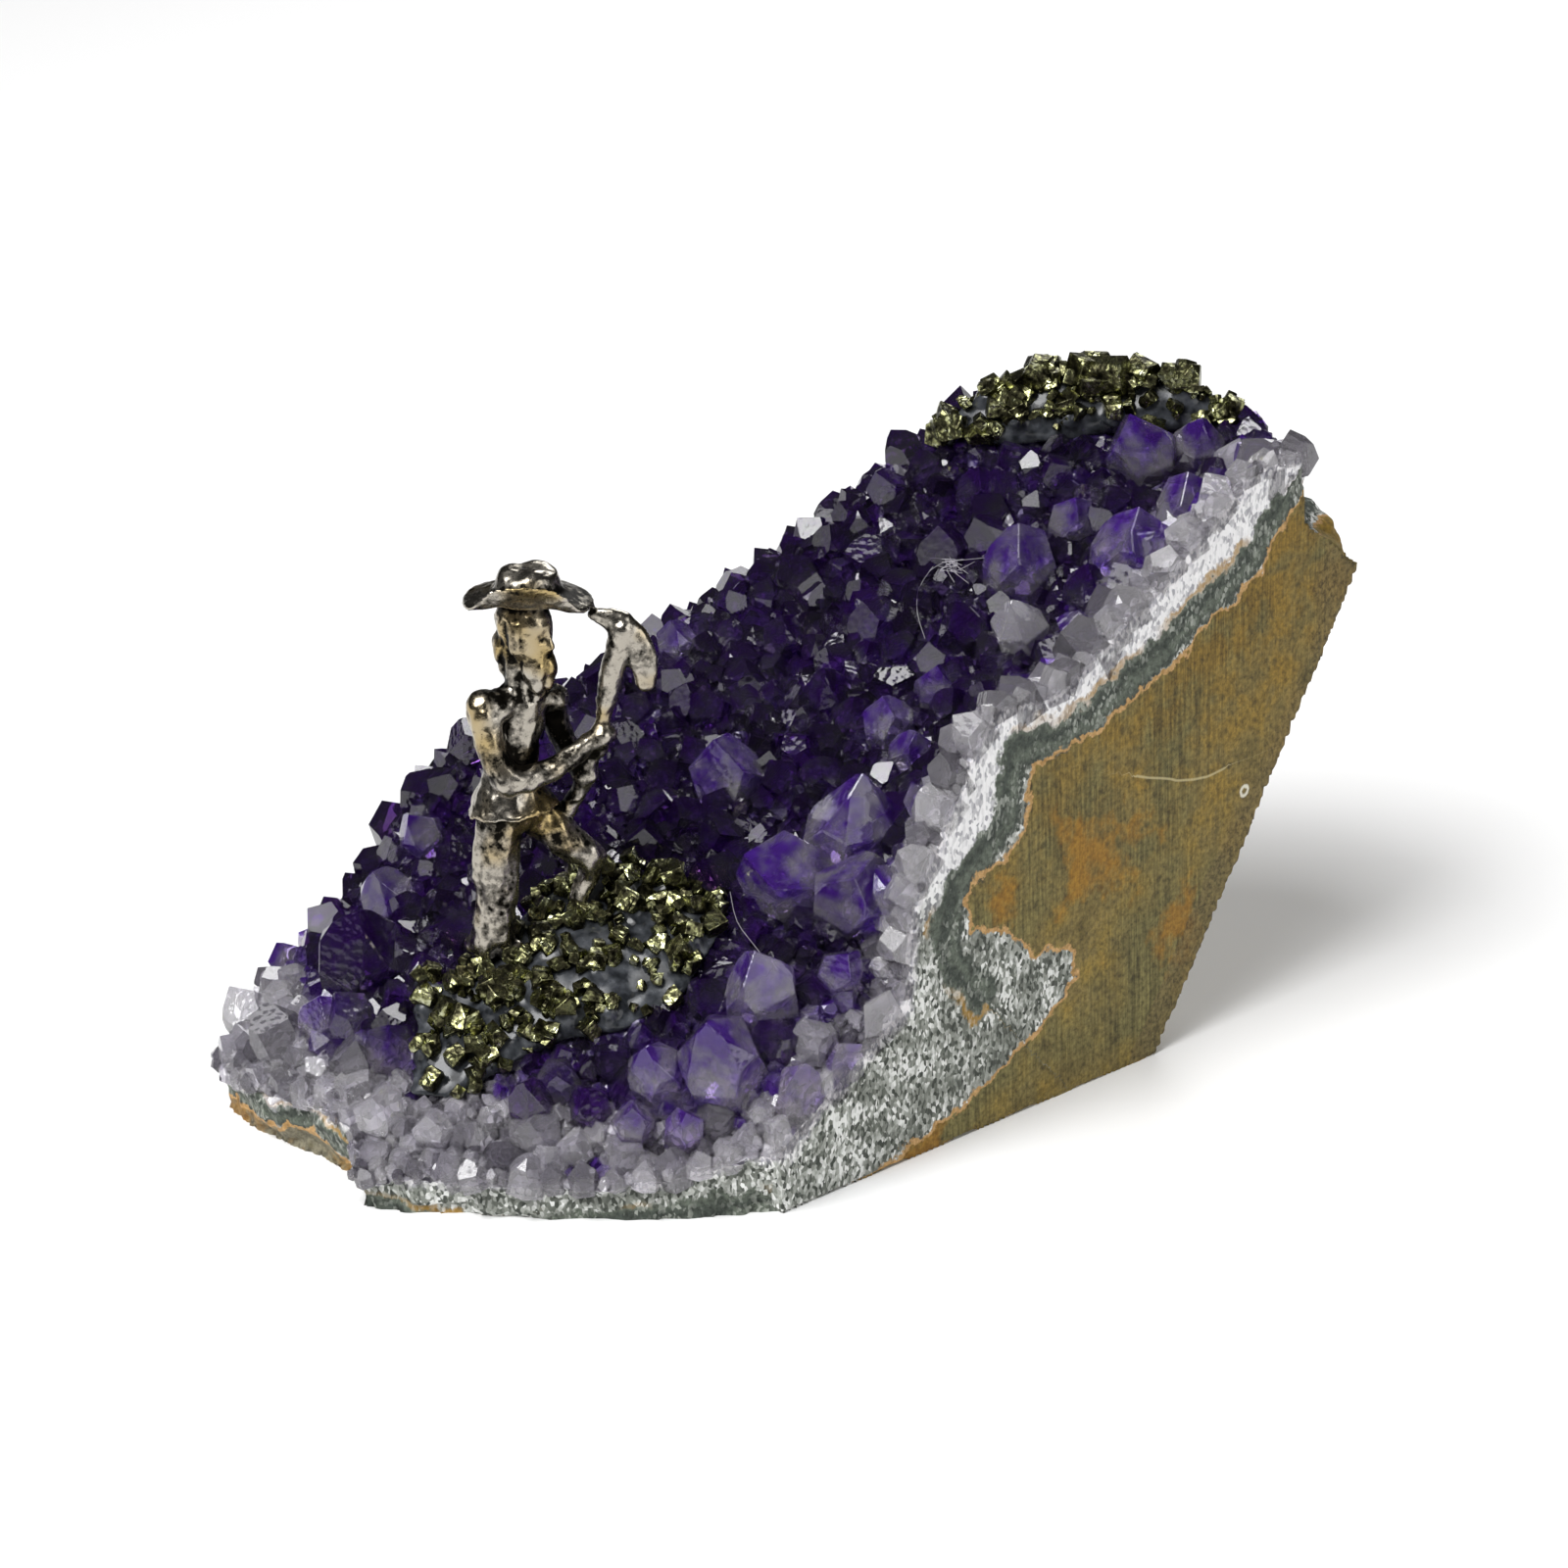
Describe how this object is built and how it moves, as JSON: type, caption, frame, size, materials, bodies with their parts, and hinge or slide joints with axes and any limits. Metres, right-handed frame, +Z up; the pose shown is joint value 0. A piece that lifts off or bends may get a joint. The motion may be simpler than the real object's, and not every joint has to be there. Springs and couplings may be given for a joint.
{
  "type": "amethyst geode",
  "caption": "Decorative wedge of amethyst geode standing on a sawn foot, with a small cast prospector and pyrite chips set on its crystal slope.",
  "frame": {"origin": "on the flat sawn foot, below the middle of the front", "axes": "+Z up, away from the foot; +X to the right when the crystal slope is seen from the front, towards the high end; -Y towards the front"},
  "size_m": [0.1133, 0.0801, 0.0634],
  "materials": {
    "basalt": "rough natural rock with one sawn face",
    "amethyst": "clear to milky crystal with natural faces",
    "adhesive": "glossy set adhesive",
    "pyrite": "metallic broken mineral",
    "pewter": "cast, antiqued and rubbed bright"
  },
  "bodies": {
    "root": {"basalt_matrix": "basalt", "amethyst_crust": "amethyst", "adhesive_bed_camp": "adhesive", "adhesive_bed_summit": "adhesive", "prospector_figure": "pewter", "pyrite_chip_camp_1": "pyrite", "pyrite_chip_camp_2": "pyrite", "pyrite_chip_camp_3": "pyrite", "pyrite_chip_camp_4": "pyrite", "pyrite_chip_camp_5": "pyrite", "pyrite_chip_camp_6": "pyrite", "pyrite_chip_camp_7": "pyrite", "pyrite_chip_camp_8": "pyrite", "pyrite_chip_camp_9": "pyrite", "pyrite_chip_camp_10": "pyrite", "pyrite_chip_camp_11": "pyrite", "pyrite_chip_camp_12": "pyrite", "pyrite_chip_camp_13": "pyrite", "pyrite_chip_camp_14": "pyrite", "pyrite_chip_camp_15": "pyrite", "pyrite_chip_camp_16": "pyrite", "pyrite_chip_camp_17": "pyrite", "pyrite_chip_camp_18": "pyrite", "pyrite_chip_camp_19": "pyrite", "pyrite_chip_camp_20": "pyrite", "pyrite_chip_camp_21": "pyrite", "pyrite_chip_camp_22": "pyrite", "pyrite_chip_camp_23": "pyrite", "pyrite_chip_camp_24": "pyrite", "pyrite_chip_summit_1": "pyrite", "pyrite_chip_summit_2": "pyrite", "pyrite_chip_summit_3": "pyrite", "pyrite_chip_summit_4": "pyrite", "pyrite_chip_summit_5": "pyrite", "pyrite_chip_summit_6": "pyrite", "pyrite_chip_summit_7": "pyrite", "pyrite_chip_summit_8": "pyrite", "pyrite_chip_summit_9": "pyrite", "pyrite_chip_summit_10": "pyrite", "pyrite_chip_summit_11": "pyrite", "pyrite_chip_summit_12": "pyrite"}
  },
  "joints": []
}
